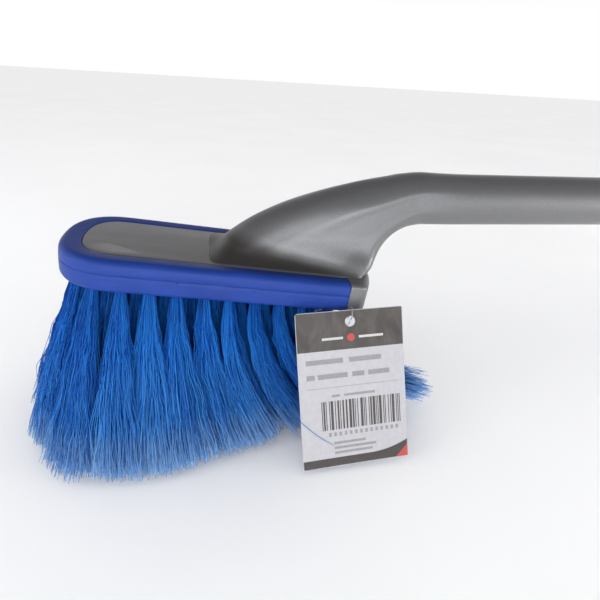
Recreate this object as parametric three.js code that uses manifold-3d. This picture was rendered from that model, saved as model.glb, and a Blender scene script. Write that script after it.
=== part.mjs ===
// A long-handled wheel brush. The head is a flat block edged by a soft rubber bumper, and its underside
// holds rows of long tufts that flare outwards to the surface the brush stands on. A swan neck joins the
// block to a level hollow tube, which ends in a rubber grip and a plugged end cap with a hanging hole.
// A card swing tag hangs on a nylon loop tied round the heel tuft.
//
// Millimetres, +Z up. The head frame has its origin on the block's top face, at the heel end of the bumper:
// +X runs towards the handle, the toe is at -X. The head is pitched so that the tube lies level along +X.
import * as THREE from "three";
import { mergeVertices } from "three/addons/utils/BufferGeometryUtils.js";
import Module from "manifold-3d";

// Driving dimensions
const HEAD_LENGTH = 136; // bumper, toe to heel end
const HEAD_WIDTH = 68; // over the bumper
const HEAD_HEIGHT = 15;
const HEAD_PITCH = THREE.MathUtils.degToRad(7.2); // the toe stands this much higher than the heel
const TOE_DEPTH = 28; // length of the rounded toe
const TOE_POWER = 2.4; // its superellipse exponent
const HEEL_SIDE = 10.5; // bare block behind the bumper, at its sides
const HEEL_BULGE = 6; // how much further it reaches at the middle
const HEEL_CORNER = 5; // plan radius of its corners
const HEEL_BEVEL = 1.2;
const OVERALL_LENGTH = 491; // bumper toe to end cap

const LIP_WIDTH = 9.8; // bumper lip over the block's top edge
const LIP_THICKNESS = 2.4;
const LIP_BEVEL = 1; // at the lip's inner edge
const BUMPER_WALL = 4.5;
const BUMPER_ROUND = 3; // depth of its rounded top and bottom edges
const PANEL_DROP = 0.4; // the panel lies this much below the lip
const GAP = 0.3; // between pieces that touch

const TUBE_RADIUS = 13.2;
const TUBE_WALL = 2.2;
const TUBE_HEIGHT = 33.5; // tube axis above the head origin
const BORE_START = 70; // the neck is solid up to here

const GRIP_LENGTH = 118;
const GRIP_THICKNESS = 2.2;
const GRIP_RIBS = 9;
const GRIP_PLAIN_END = 7; // unribbed length at each end
const GRIP_RIB_HEIGHT = 0.7;
const CAP_LENGTH = 26;
const CAP_THICKNESS = 13; // across the lug's two flat sides
const COLLAR_OVERHANG = 1.4; // beyond the tube's surface
const COLLAR_LENGTH = 4;
const COLLAR_SLOPE = 3; // its sloping shoulder
const LUG_RADIUS = 12;
const HANG_HOLE_RADIUS = 5;
const PLUG_LENGTH = 16;

const TUFT_PITCH = 12.35; // along the head
const ROW_PITCH = 12.7; // across the head
const TUFT_INSET = 8.6; // outer tufts to the bumper's face
const FIRST_TUFT = -7;
const TUFTS_PER_SIDE = 9;
const TOE_TUFTS = 5;
const HOLE_RADIUS = 3.2;
const HOLE_DEPTH = 9;
const TUFT_ROOT_RADIUS = 2.9;
const TUFT_TIP_RADIUS = 6.4;
const TUFT_STIFF_LENGTH = 35; // how far a tuft runs on straight before it bends
const TOE_ROOT_LEAN = 0.4; // share of its lean that the foremost tuft has from the root on
const STAND_HEIGHT = 84; // head origin above the tuft tips
const HEEL_SWEEP = 54; // how far the heel tuft leans back under the neck
const HEEL_SWEEP_FADE = 0.4; // share of the head's length over which that fades
const HEEL_SWEEP_LOSS = 0.75; // share of it that the far side's tufts lack
const HEEL_LIFT = 12; // the swept heel tufts end this much higher
const HEEL_LIFT_FADE = 0.1;
const TOE_SPLAY = 28; // how far the foremost tuft leans forwards
const TOE_SPLAY_LOSS = 0.5; // share of it that the outer rows lack
const SIDE_FLARE = { heel: 3, toe: 34, from: 0.15, to: 0.75 }; // sideways lean, and where it grows

const TAG_WIDTH = 54;
const TAG_HEIGHT = 75.7;
const TAG_THICKNESS = 0.6;
const TAG_HOLE_RADIUS = 2.5;
const TAG_HOLE_DROP = 5.5; // hole centre below the top edge
const TAG_CORNER = 1.5;
const TAG_HOLE = new THREE.Vector3(-1.5, -41.3, -15.5); // from the head origin, in the level frame
const TAG_TILT = new THREE.Euler(
  THREE.MathUtils.degToRad(-22.9), // the card's lower edge stands out from the tufts
  THREE.MathUtils.degToRad(-2.5),
  THREE.MathUtils.degToRad(2.9),
  "ZXY",
);
const LOOP_RADIUS = 0.45;

const TOE_STEPS = 16; // facets round the toe
const NECK_SIDES = 28; // twice the corners of a neck section
const TUBE_SIDES = 24;
const GRIP_SIDES = 20;
const TUFT_SIDES = 8;
const LOOP_STEPS = 44;
const LOOP_SIDES = 6;

const wasm = await Module();
wasm.setup();

const { cos, sin, PI, abs, sign, pow, exp } = Math;
const powered = (v, power) => sign(v) * pow(abs(v), 2 / power);

// Solids

function toSolid(geometry) {
  const bare = geometry.clone();
  bare.deleteAttribute("normal");
  bare.deleteAttribute("uv");
  const merged = mergeVertices(bare, 1e-4);
  const triVerts = new Uint32Array(merged.index.array);
  return new wasm.Manifold(
    new wasm.Mesh({ numProp: 3, vertProperties: merged.attributes.position.array, triVerts }),
  );
}

function toGeometry(solid) {
  const mesh = solid.getMesh();
  return new THREE.BufferGeometry()
    .setAttribute("position", new THREE.BufferAttribute(mesh.vertProperties, 3))
    .setIndex(new THREE.BufferAttribute(mesh.triVerts, 1));
}

// A closed solid through a row of rings. Each ring is a list of points that turns the same way.
function loft(rings) {
  const sides = rings[0].length;
  const points = rings.flat();
  const faces = [];
  for (let r = 0; r + 1 < rings.length; r++)
    for (let s = 0; s < sides; s++) {
      const a = r * sides + s;
      const b = r * sides + ((s + 1) % sides);
      faces.push(a, b, b + sides, a, b + sides, a + sides);
    }
  for (const [ring, last] of [[0, false], [rings.length - 1, true]]) {
    const centre = points.length;
    const middle = new THREE.Vector3();
    for (const p of rings[ring]) middle.addScaledVector(p, 1 / sides);
    points.push(middle);
    for (let s = 0; s < sides; s++) {
      const a = ring * sides + s;
      const b = ring * sides + ((s + 1) % sides);
      faces.push(...(last ? [a, b, centre] : [b, a, centre]));
    }
  }
  const geometry = new THREE.BufferGeometry().setFromPoints(points).setIndex(faces);
  return toSolid(geometry).volume() < 0 ? flipped(geometry) : geometry;
}

function flipped(geometry) {
  const index = geometry.index.array;
  for (let i = 0; i < index.length; i += 3) [index[i], index[i + 1]] = [index[i + 1], index[i]];
  return geometry;
}

// Plan outline of the head: near side, rounded toe, far side. Each point has its inward normal.
function headOutline(xHeel, sideSteps, toeSteps) {
  const half = HEAD_WIDTH / 2;
  const xToe = -HEAD_LENGTH + TOE_DEPTH;
  const vector = (x, y) => new THREE.Vector2(x, y);
  const at = (x, y, nx, ny) => ({ p: vector(x, y), n: vector(nx, ny).normalize() });
  const outline = [];
  for (let i = 0; i < sideSteps; i++) {
    outline.push(at(xHeel + ((xToe - xHeel) * i) / sideSteps, -half, 0, 1));
  }
  for (let i = 0; i <= toeSteps; i++) {
    const t = -PI / 2 + (PI * i) / toeSteps;
    const cx = pow(abs(cos(t)), 2 / TOE_POWER);
    const sy = powered(sin(t), TOE_POWER);
    const nx = pow(cx, TOE_POWER - 1) / TOE_DEPTH;
    const ny = -sign(sy) * pow(abs(sy), TOE_POWER - 1) / half;
    outline.push(at(xToe - TOE_DEPTH * cx, half * sy, nx, ny));
  }
  for (let i = 1; i <= sideSteps; i++) {
    outline.push(at(xToe + ((xHeel - xToe) * i) / sideSteps, half, 0, -1));
  }
  return outline;
}

function headSlab(inset, xHeel, zLow, zHigh) {
  const points = headOutline(xHeel, 1, TOE_STEPS).map(({ p, n }) => p.clone().addScaledVector(n, inset));
  const shape = new THREE.Shape(points);
  return new THREE.ExtrudeGeometry(shape, { depth: zHigh - zLow, bevelEnabled: false }).translate(0, 0, zLow);
}

// The bare heel of the block, bulged in plan and with softened edges.
function heelSlab() {
  const half = HEAD_WIDTH / 2 - GAP - HEEL_BEVEL;
  const front = GAP + HEEL_BEVEL;
  const side = HEEL_SIDE - HEEL_BEVEL;
  const shape = new THREE.Shape();
  shape.moveTo(front, -half);
  shape.lineTo(side - HEEL_CORNER, -half);
  shape.quadraticCurveTo(side, -half, side + 1, -half + HEEL_CORNER);
  shape.quadraticCurveTo(side + HEEL_BULGE * 1.6, 0, side + 1, half - HEEL_CORNER);
  shape.quadraticCurveTo(side, half, side - HEEL_CORNER, half);
  shape.lineTo(front, half);
  const slab = new THREE.ExtrudeGeometry(shape, {
    depth: HEAD_HEIGHT - 2 * HEEL_BEVEL,
    bevelThickness: HEEL_BEVEL,
    bevelSize: HEEL_BEVEL,
    bevelSegments: 2,
    curveSegments: 6,
  });
  return slab.translate(0, 0, HEEL_BEVEL - HEAD_HEIGHT);
}

// The swan neck: sections that fan round a line across the brush, from its foot on the block to the tube.
// Each has a flat underside, a ridge at its side, a leaning flat facet, a crease, and a rounded back.
const NECK_PIVOT = new THREE.Vector2(45.3, 0); // x, z in the head frame
const NECK_SECTIONS = [
  // fan angle from +X in degrees; distance from the pivot to the underside and to the back; and for the
  // ridge, crease and shoulder, [distance from the pivot, distance from the plane of symmetry]
  { angle: 180, under: 31, back: 112.5, ridge: [37.6, 23.3], crease: [98, 22.7], shoulder: [110.5, 21.3] },
  { angle: 179.3, under: 30.6, back: 110, ridge: [37, 22.9], crease: [95.5, 20], shoulder: [107, 17.5] },
  { angle: 178.4, under: 30, back: 108, ridge: [36.3, 22.5], crease: [93, 17.6], shoulder: [104.5, 14.6] },
  { angle: 176, under: 29, back: 104.8, ridge: [35.2, 21.8], crease: [88, 15.6], shoulder: [100, 12.2] },
  { angle: 172, under: 28, back: 99, ridge: [34, 20.8], crease: [81, 14.9], shoulder: [93.5, 10.8] },
  { angle: 164, under: 27.5, back: 86.9, ridge: [33.2, 18.4], crease: [69.8, 14.4], shoulder: [82.5, 9.8] },
  { angle: 154, under: 27.4, back: 74.4, ridge: [33.8, 16.9], crease: [60.5, 14.2], shoulder: [71, 9.2] },
  { angle: 143.5, under: 27.5, back: 65.4, ridge: [34.4, 15.8], crease: [53.8, 14.2], shoulder: [62, 8.8] },
  { angle: 133, under: 27.6, back: 59.4, ridge: [34.4, 15], crease: [49.3, 13.9], shoulder: [56.4, 8.5] },
  { angle: 121, under: 27.2, back: 55.1, ridge: [34.8, 14.2], crease: [46.8, 13], shoulder: [53, 7.8] },
  { angle: 109, under: 26.5, back: 53.5, ridge: [35.4, 13.6], crease: [46, 12.3], shoulder: [51.6, 7.2] },
];
const FACET_FLAT = 0.4; // flat share of the side facet
const RIDGE_FADE = 14; // length of tube in which the last of the ridge fades out

// A section's outline as [distance from the pivot, distance across], NECK_SIDES points.
function neckOutline({ under, back, ridge, crease, shoulder }) {
  const onFacet = (share) => [0, 1].map((k) => ridge[k] + (crease[k] - ridge[k]) * share);
  const belly = [under + 0.28 * (ridge[0] - under), 0.66 * ridge[1]];
  const side = [belly, ridge, onFacet((1 - FACET_FLAT) / 2), onFacet((1 + FACET_FLAT) / 2), crease, shoulder];
  const far = side.map(([d, y]) => [d, -y]).reverse();
  const keys = [[under, 0], ...side, [back, 0], ...far].map(([d, y]) => new THREE.Vector3(d, y, 0));
  const curve = new THREE.CatmullRomCurve3(keys, true, "centripetal");
  return Array.from({ length: NECK_SIDES }, (_, i) => curve.getPoint(i / NECK_SIDES));
}

function neckRing(outline, angle) {
  const t = THREE.MathUtils.degToRad(angle);
  return outline.map((p) => new THREE.Vector3(NECK_PIVOT.x + p.x * cos(t), p.y, NECK_PIVOT.y + p.x * sin(t)));
}

function neckAndTube() {
  const levelPivotZ = -NECK_PIVOT.x * sin(HEAD_PITCH) + NECK_PIVOT.y * cos(HEAD_PITCH);
  const axis = new THREE.Vector3(TUBE_HEIGHT - levelPivotZ, 0, 0);
  const level = 90 + THREE.MathUtils.radToDeg(HEAD_PITCH);
  const last = neckOutline(NECK_SECTIONS.at(-1));
  const round = last.map((p) => p.clone().sub(axis).setLength(TUBE_RADIUS).add(axis));
  const half = last.map((p, i) => p.clone().lerp(round[i], 0.5));
  const rings = NECK_SECTIONS.map((section) => neckRing(neckOutline(section), section.angle));
  const buried = rings[0].map((p) => p.clone().setZ(-LIP_THICKNESS));
  const moved = (ring, distance) => ring.map((p) => p.clone().addScaledVector(alongTube(), distance));
  const tube = neckRing(round, level);
  const length = tubeEnd() - levelX(NECK_PIVOT.x);
  return loft([buried, ...rings, neckRing(half, level), moved(tube, RIDGE_FADE), moved(tube, length)]);
}

const alongTube = () => new THREE.Vector3(cos(HEAD_PITCH), 0, sin(HEAD_PITCH)); // in the head frame
const levelX = (x, z = 0) => x * cos(HEAD_PITCH) + z * sin(HEAD_PITCH);
const ACROSS = new THREE.Vector3(0, 1, 0);
const levelPoint = (x, y, z) => new THREE.Vector3(x, y, z).applyAxisAngle(ACROSS, HEAD_PITCH);
const tubeEnd = () => OVERALL_LENGTH - HEAD_LENGTH - CAP_LENGTH;

// A cylinder along +X in the level frame, written in the head frame.
function tubeCylinder(radius, from, to) {
  return new THREE.CylinderGeometry(radius, radius, to - from, TUBE_SIDES)
    .rotateZ(PI / 2)
    .translate((from + to) / 2, 0, TUBE_HEIGHT)
    .rotateY(-HEAD_PITCH);
}

// Tufts

function tuftRoots() {
  const roots = [];
  const outer = HEAD_WIDTH / 2 - TUFT_INSET;
  const straight = (y, first, count) => {
    for (let i = 0; i < count; i++) roots.push({ x: first - i * TUFT_PITCH, y });
  };
  straight(-outer, FIRST_TUFT, TUFTS_PER_SIDE);
  straight(outer, FIRST_TUFT, TUFTS_PER_SIDE);
  straight(-ROW_PITCH, FIRST_TUFT - TUFT_PITCH / 2, TUFTS_PER_SIDE);
  straight(ROW_PITCH, FIRST_TUFT - TUFT_PITCH / 2, TUFTS_PER_SIDE);
  straight(0, FIRST_TUFT, TUFTS_PER_SIDE + 1);
  const toeX = FIRST_TUFT - (TUFTS_PER_SIDE - 1) * TUFT_PITCH;
  for (let i = 1; i <= TOE_TUFTS; i++) {
    const t = (PI * i) / (TOE_TUFTS + 1);
    const reach = HEAD_LENGTH - TUFT_INSET + toeX;
    roots.push({ x: toeX - reach * powered(sin(t), TOE_POWER), y: -outer * powered(cos(t), TOE_POWER) });
  }
  return roots;
}

// How far towards the toe a tuft stands, 0 to 1.
const toewardShare = (x) => (FIRST_TUFT - x) / (HEAD_LENGTH - TUFT_INSET + FIRST_TUFT);

// Where a tuft ends: the heel tufts sweep back under the neck, the toe and side tufts flare outwards.
function tuftTip({ x, y }) {
  const toeward = toewardShare(x);
  const root = levelPoint(x, y, -HEAD_HEIGHT);
  const sideward = y / (HEAD_WIDTH / 2 - TUFT_INSET);
  const swept = HEEL_SWEEP * exp(-pow(toeward / HEEL_SWEEP_FADE, 1.5));
  const splayed = TOE_SPLAY * pow(toeward, 3);
  const sweep = swept * (1 - (HEEL_SWEEP_LOSS * (sideward + 1)) / 2);
  const splay = splayed * (1 - TOE_SPLAY_LOSS * sideward * sideward);
  const grown = THREE.MathUtils.smoothstep(toeward, SIDE_FLARE.from, SIDE_FLARE.to);
  const flare = sideward * (SIDE_FLARE.heel + (SIDE_FLARE.toe - SIDE_FLARE.heel) * grown);
  const lift = HEEL_LIFT * exp(-toeward / HEEL_LIFT_FADE);
  return new THREE.Vector3(root.x + sweep - splay, root.y + flare, lift - STAND_HEIGHT);
}

function tuftGeometry(root) {
  const start = levelPoint(root.x, root.y, HOLE_DEPTH - GAP - HEAD_HEIGHT);
  const mouth = levelPoint(root.x, root.y, -HEAD_HEIGHT);
  const tip = tuftTip(root);
  const bend = levelPoint(root.x, root.y, -HEAD_HEIGHT - TUFT_STIFF_LENGTH);
  const lean = TOE_ROOT_LEAN * pow(toewardShare(root.x), 2);
  bend.add(tip.clone().sub(mouth).setZ(0).multiplyScalar(lean));
  const curve = new THREE.QuadraticBezierCurve3(mouth, bend, tip);
  const ring = (centre, direction, radius) => {
    const turn = new THREE.Quaternion().setFromUnitVectors(new THREE.Vector3(0, 0, -1), direction);
    return Array.from({ length: TUFT_SIDES }, (_, i) => {
      const a = (2 * PI * (i + 0.5)) / TUFT_SIDES;
      return new THREE.Vector3(cos(a), sin(a), 0).multiplyScalar(radius).applyQuaternion(turn).add(centre);
    });
  };
  const down = mouth.clone().sub(start).normalize();
  const rings = [ring(start, down, TUFT_ROOT_RADIUS), ring(mouth, down, TUFT_ROOT_RADIUS)];
  for (const t of [0.25, 0.6]) {
    const radius = TUFT_ROOT_RADIUS + (TUFT_TIP_RADIUS - TUFT_ROOT_RADIUS) * t;
    rings.push(ring(curve.getPoint(t), curve.getTangent(t), radius));
  }
  rings.push(ring(tip, new THREE.Vector3(0, 0, -1), TUFT_TIP_RADIUS));
  return loft(rings);
}

// Sub-parts

function handleAndBlock() {
  const zLip = -LIP_THICKNESS - GAP;
  let solid = toSolid(headSlab(BUMPER_WALL + GAP, GAP + 2, -HEAD_HEIGHT, zLip))
    .add(toSolid(headSlab(LIP_WIDTH + GAP, GAP + 2, zLip - 1, -PANEL_DROP)))
    .add(toSolid(heelSlab()))
    .add(toSolid(neckAndTube()));
  for (const { x, y } of tuftRoots()) {
    const hole = new THREE.CylinderGeometry(HOLE_RADIUS, HOLE_RADIUS, 2 * HOLE_DEPTH, 8)
      .rotateX(PI / 2)
      .translate(x, y, -HEAD_HEIGHT);
    solid = solid.subtract(toSolid(hole));
  }
  const bore = tubeCylinder(TUBE_RADIUS - TUBE_WALL, BORE_START, tubeEnd() + 1);
  return toGeometry(solid.subtract(toSolid(bore)));
}

// The rubber band round the block: a channel section swept round the head's outline.
function bumper() {
  const round = BUMPER_ROUND;
  const section = [
    // distance in from the outer face, height
    [LIP_WIDTH, -LIP_THICKNESS],
    [LIP_WIDTH, -LIP_BEVEL / 3],
    [LIP_WIDTH - LIP_BEVEL, 0],
    [round, 0],
    [round * 0.4, -round * 0.27],
    [round * 0.07, -round],
    [0, -HEAD_HEIGHT / 2],
    [round * 0.07, round - HEAD_HEIGHT],
    [round * 0.4, round * 0.3 - HEAD_HEIGHT],
    [round, -HEAD_HEIGHT],
    [BUMPER_WALL, -HEAD_HEIGHT],
    [BUMPER_WALL, -LIP_THICKNESS],
  ];
  return loft(
    headOutline(0, 2, TOE_STEPS).map(({ p, n }) =>
      section.map(([d, z]) => new THREE.Vector3(p.x + n.x * d, p.y + n.y * d, z)),
    ),
  );
}

// A ribbed rubber sleeve over the end of the tube.
function gripSleeve() {
  const inner = TUBE_RADIUS + GAP;
  const outer = inner + GRIP_THICKNESS;
  const profile = [new THREE.Vector2(inner, 0), new THREE.Vector2(inner + 0.8, 0)];
  const ribPitch = (GRIP_LENGTH - 2 * GRIP_PLAIN_END) / GRIP_RIBS;
  for (let i = 0; i < GRIP_RIBS; i++) {
    const y = GRIP_PLAIN_END + i * ribPitch;
    profile.push(new THREE.Vector2(outer - GRIP_RIB_HEIGHT, y), new THREE.Vector2(outer, y + ribPitch / 2));
  }
  profile.push(
    new THREE.Vector2(outer - GRIP_RIB_HEIGHT, GRIP_LENGTH - GRIP_PLAIN_END),
    new THREE.Vector2(inner + 1, GRIP_LENGTH),
    new THREE.Vector2(inner, GRIP_LENGTH),
    new THREE.Vector2(inner, 0),
  );
  return new THREE.LatheGeometry(profile, GRIP_SIDES)
    .rotateZ(-PI / 2)
    .translate(tubeEnd() - GRIP_LENGTH, 0, TUBE_HEIGHT);
}

// The end cap: a plug in the tube, a collar, and a lug with two flat sides and a hanging hole across it.
function endCap() {
  const plugRadius = TUBE_RADIUS - TUBE_WALL - GAP;
  const collarRadius = TUBE_RADIUS + COLLAR_OVERHANG;
  const shoulder = COLLAR_LENGTH + COLLAR_SLOPE;
  const body = new THREE.LatheGeometry(
    [
      new THREE.Vector2(0, -PLUG_LENGTH),
      new THREE.Vector2(plugRadius - 1, -PLUG_LENGTH),
      new THREE.Vector2(plugRadius, 1 - PLUG_LENGTH),
      new THREE.Vector2(plugRadius, GAP),
      new THREE.Vector2(collarRadius, GAP),
      new THREE.Vector2(collarRadius, COLLAR_LENGTH),
      new THREE.Vector2(collarRadius - COLLAR_SLOPE, shoulder),
      new THREE.Vector2(0, shoulder + 1),
    ],
    TUBE_SIDES,
  ).rotateZ(-PI / 2);
  const lug = new THREE.Shape();
  const lugStart = COLLAR_LENGTH / 2;
  const holeX = CAP_LENGTH - LUG_RADIUS;
  lug.moveTo(lugStart, -LUG_RADIUS);
  lug.lineTo(holeX, -LUG_RADIUS);
  lug.absarc(holeX, 0, LUG_RADIUS, -PI / 2, PI / 2, false);
  lug.lineTo(lugStart, LUG_RADIUS);
  lug.holes.push(new THREE.Path().absarc(holeX, 0, HANG_HOLE_RADIUS, 0, 2 * PI, true));
  const across = { depth: CAP_THICKNESS, bevelEnabled: false, curveSegments: 12 };
  const lugSolid = new THREE.ExtrudeGeometry(lug, across)
    .translate(0, 0, -CAP_THICKNESS / 2)
    .rotateX(PI / 2);
  const drill = new THREE.CylinderGeometry(HANG_HOLE_RADIUS, HANG_HOLE_RADIUS, 4 * TUBE_RADIUS, TUBE_SIDES);
  const solid = toSolid(body).add(toSolid(lugSolid)).subtract(toSolid(drill.translate(holeX, 0, 0)));
  return toGeometry(solid).translate(tubeEnd(), 0, TUBE_HEIGHT);
}

function swingTag() {
  const half = TAG_WIDTH / 2;
  const top = TAG_HOLE_DROP;
  const bottom = TAG_HOLE_DROP - TAG_HEIGHT;
  const corner = TAG_CORNER;
  const card = new THREE.Shape();
  card.moveTo(-half + corner, bottom);
  card.lineTo(half - corner, bottom);
  card.quadraticCurveTo(half, bottom, half, bottom + corner);
  card.lineTo(half, top - corner);
  card.quadraticCurveTo(half, top, half - corner, top);
  card.lineTo(-half + corner, top);
  card.quadraticCurveTo(-half, top, -half, top - corner);
  card.lineTo(-half, bottom + corner);
  card.quadraticCurveTo(-half, bottom, -half + corner, bottom);
  card.holes.push(new THREE.Path().absarc(0, 0, TAG_HOLE_RADIUS, 0, 2 * PI, true));
  return new THREE.ExtrudeGeometry(card, { depth: TAG_THICKNESS, bevelEnabled: false, curveSegments: 6 })
    .rotateX(PI / 2)
    .translate(0, TAG_THICKNESS / 2, 0);
}

// The nylon loop: through the card's hole, over its top edge, and round the heel tuft just below the block.
function tagLoop() {
  const route = [
    // from the tag's hole, in the level frame
    [0, 0, 0],
    [0.1, -2.1, 3.9],
    [0.3, 0.4, 7.3],
    [0.9, 6.2, 3.6],
    [2, 7.1, -0.8],
    [1.8, 11, -4.2],
    [0.6, 16.4, -5.2],
    [-4, 20.8, -4.8],
    [-9.8, 20.9, -4.2],
    [-13.4, 16.8, -3.9],
    [-11.3, 10.8, -4.1],
    [-5.6, 5.2, -4.4],
    [-0.8, 1.5, -3],
  ].map((p) => new THREE.Vector3(...p));
  const curve = new THREE.CatmullRomCurve3(route, true, "centripetal");
  const frames = curve.computeFrenetFrames(LOOP_STEPS, true);
  const torus = new THREE.TorusGeometry(1, LOOP_RADIUS, LOOP_SIDES, LOOP_STEPS);
  const position = torus.attributes.position;
  for (let j = 0; j <= LOOP_SIDES; j++)
    for (let i = 0; i <= LOOP_STEPS; i++) {
      const a = (2 * PI * j) / LOOP_SIDES;
      const k = i % LOOP_STEPS;
      const p = curve
        .getPointAt(k / LOOP_STEPS)
        .addScaledVector(frames.normals[k], LOOP_RADIUS * cos(a))
        .addScaledVector(frames.binormals[k], LOOP_RADIUS * sin(a));
      position.setXYZ(j * (LOOP_STEPS + 1) + i, p.x, p.y, p.z);
    }
  return toSolid(torus).volume() < 0 ? flipped(torus) : torus;
}

// Scene

const finishes = {
  silverPlastic: { color: 0x7e7f83, roughness: 0.42, metalness: 0.25 },
  bumperRubber: { color: 0x2f41a6, roughness: 0.55, metalness: 0 },
  gripRubber: { color: 0x26306f, roughness: 0.7, metalness: 0 },
  fibre: { color: 0x1b62c4, roughness: 0.5, metalness: 0 },
  card: { color: 0xe2dfdc, roughness: 0.8, metalness: 0 },
  nylon: { color: 0xe6e9ea, roughness: 0.3, metalness: 0 },
};

function piece(name, geometry, finish) {
  const mesh = new THREE.Mesh(geometry, new THREE.MeshStandardMaterial(finishes[finish]));
  mesh.name = name;
  return mesh;
}

const brush = new THREE.Group();
const head = new THREE.Group();
head.rotation.y = HEAD_PITCH;
head.add(piece("handle_and_block", handleAndBlock(), "silverPlastic"));
head.add(piece("bumper", bumper(), "bumperRubber"));
brush.add(head);
brush.add(piece("grip_sleeve", gripSleeve(), "gripRubber"));
brush.add(piece("end_cap", endCap(), "bumperRubber"));
tuftRoots().forEach((root, i) => {
  brush.add(piece("tuft_" + String(i + 1).padStart(2, "0"), tuftGeometry(root), "fibre"));
});

const tag = piece("swing_tag", swingTag(), "card");
tag.position.copy(TAG_HOLE);
tag.rotation.copy(TAG_TILT);
brush.add(tag);
const loop = piece("tag_loop", tagLoop(), "nylon");
loop.position.copy(TAG_HOLE);
brush.add(loop);

// The part's origin is the bottom centre of its box.
const part = new THREE.Group();
part.add(brush);
const box = new THREE.Box3().setFromObject(part, true);
const middle = box.getCenter(new THREE.Vector3());
brush.position.set(-middle.x, -middle.y, -box.min.z);

export default part;
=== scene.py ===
# A long-handled wheel brush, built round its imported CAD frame. Lengths in the helpers are millimetres in the
# brush's own frames, as in the CAD source. head_point and level_point turn a point into metres in the row frame.
import math

import bmesh
import bpy
import numpy as np
from mathutils import Euler, Matrix, Vector


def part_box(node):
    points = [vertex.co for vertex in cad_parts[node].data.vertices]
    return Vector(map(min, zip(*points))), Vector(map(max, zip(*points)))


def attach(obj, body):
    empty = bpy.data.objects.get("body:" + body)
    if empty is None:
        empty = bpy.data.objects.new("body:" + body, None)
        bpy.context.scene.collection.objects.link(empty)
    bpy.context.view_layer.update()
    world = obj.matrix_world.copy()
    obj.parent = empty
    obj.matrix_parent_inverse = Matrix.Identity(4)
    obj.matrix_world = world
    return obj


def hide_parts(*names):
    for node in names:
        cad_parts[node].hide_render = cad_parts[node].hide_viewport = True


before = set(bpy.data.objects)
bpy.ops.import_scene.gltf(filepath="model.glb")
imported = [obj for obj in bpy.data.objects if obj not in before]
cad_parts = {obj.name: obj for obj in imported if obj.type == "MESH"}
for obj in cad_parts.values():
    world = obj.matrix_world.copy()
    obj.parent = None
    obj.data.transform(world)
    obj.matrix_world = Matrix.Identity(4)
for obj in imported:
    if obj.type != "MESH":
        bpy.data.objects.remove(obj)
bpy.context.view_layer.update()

# Driving dimensions, the same as the CAD's
HEAD_LENGTH = 136.0
HEAD_WIDTH = 68.0
HEAD_HEIGHT = 15.0
HEAD_PITCH = math.radians(7.2)
TOE_DEPTH = 28.0
TOE_POWER = 2.4
HEEL_SIDE = 10.5
HEEL_BULGE = 6.0
OVERALL_LENGTH = 491.0
LIP_WIDTH = 9.8
LIP_THICKNESS = 2.4
BUMPER_WALL = 4.5
PANEL_DROP = 0.4
TUBE_RADIUS = 13.2
TUBE_WALL = 2.2
TUBE_HEIGHT = 33.5
GRIP_LENGTH = 118.0
GRIP_THICKNESS = 2.2
CAP_LENGTH = 26.0
CAP_THICKNESS = 13.0
HANG_HOLE_RADIUS = 5.0
TUFT_PITCH = 12.35
ROW_PITCH = 12.7
TUFT_INSET = 8.6
FIRST_TUFT = -7.0
TUFTS_PER_SIDE = 9
TOE_TUFTS = 5
HOLE_RADIUS = 3.2
HOLE_DEPTH = 9.0
TUFT_STIFF_LENGTH = 35.0
TOE_ROOT_LEAN = 0.4
HEEL_SWEEP = 54.0
HEEL_SWEEP_FADE = 0.4
HEEL_SWEEP_LOSS = 0.75
HEEL_LIFT = 12.0
HEEL_LIFT_FADE = 0.1
TOE_SPLAY = 28.0
TOE_SPLAY_LOSS = 0.5
FLARE_HEEL = 3.0
FLARE_TOE = 34.0
FLARE_FROM = 0.15
FLARE_TO = 0.75
STAND_HEIGHT = 84.0
TAG_WIDTH = 54.0
TAG_HEIGHT = 75.7
TAG_THICKNESS = 0.6
TAG_HOLE_RADIUS = 2.5
TAG_HOLE_DROP = 5.5
TAG_HOLE = Vector((-1.5, -41.3, -15.5))
TAG_TILT = Euler([math.radians(a) for a in (-22.9, -2.5, 2.9)], "ZXY")

LOOP_RADIUS = 0.28  # thinner than the CAD's, which is 0.45
MM = 0.001
TUBE_END = OVERALL_LENGTH - HEAD_LENGTH - CAP_LENGTH
grip_low, grip_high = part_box("grip_sleeve")
ORIGIN = Vector((
    grip_high.x / MM - TUBE_END,
    (grip_low.y + grip_high.y) / 2 / MM,
    (grip_low.z + grip_high.z) / 2 / MM - TUBE_HEIGHT,
))
PITCH_TURN = np.array(Matrix.Rotation(HEAD_PITCH, 3, "Y"))


def level_point(points):
    """Millimetres from the head's origin in the level frame, to metres in the row frame."""
    return (np.asarray(points, float) + np.array(ORIGIN)) * MM


def head_point(points):
    """Millimetres in the pitched head frame, to metres in the row frame."""
    return level_point(np.asarray(points, float) @ PITCH_TURN.T)


def powered(v, power):
    return np.sign(v) * np.abs(v) ** (2 / power)


# Meshes

def scene_object(name, data):
    obj = bpy.data.objects.new(name, data)
    bpy.context.scene.collection.objects.link(obj)
    return obj


def set_shading(mesh, angle):
    """Smooth, apart from the edges where faces meet at more than this angle in degrees."""
    mesh.shade_smooth()
    mesh.set_sharp_from_angle(angle=math.radians(angle))


def mesh_object(name, vertices, faces, material, smooth_angle=None):
    mesh = bpy.data.meshes.new(name)
    mesh.from_pydata([tuple(v) for v in vertices], [], [tuple(f) for f in faces])
    mesh.validate()
    mesh.materials.append(material)
    if smooth_angle is not None:
        set_shading(mesh, smooth_angle)
    mesh.update()
    return scene_object(name, mesh)


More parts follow.
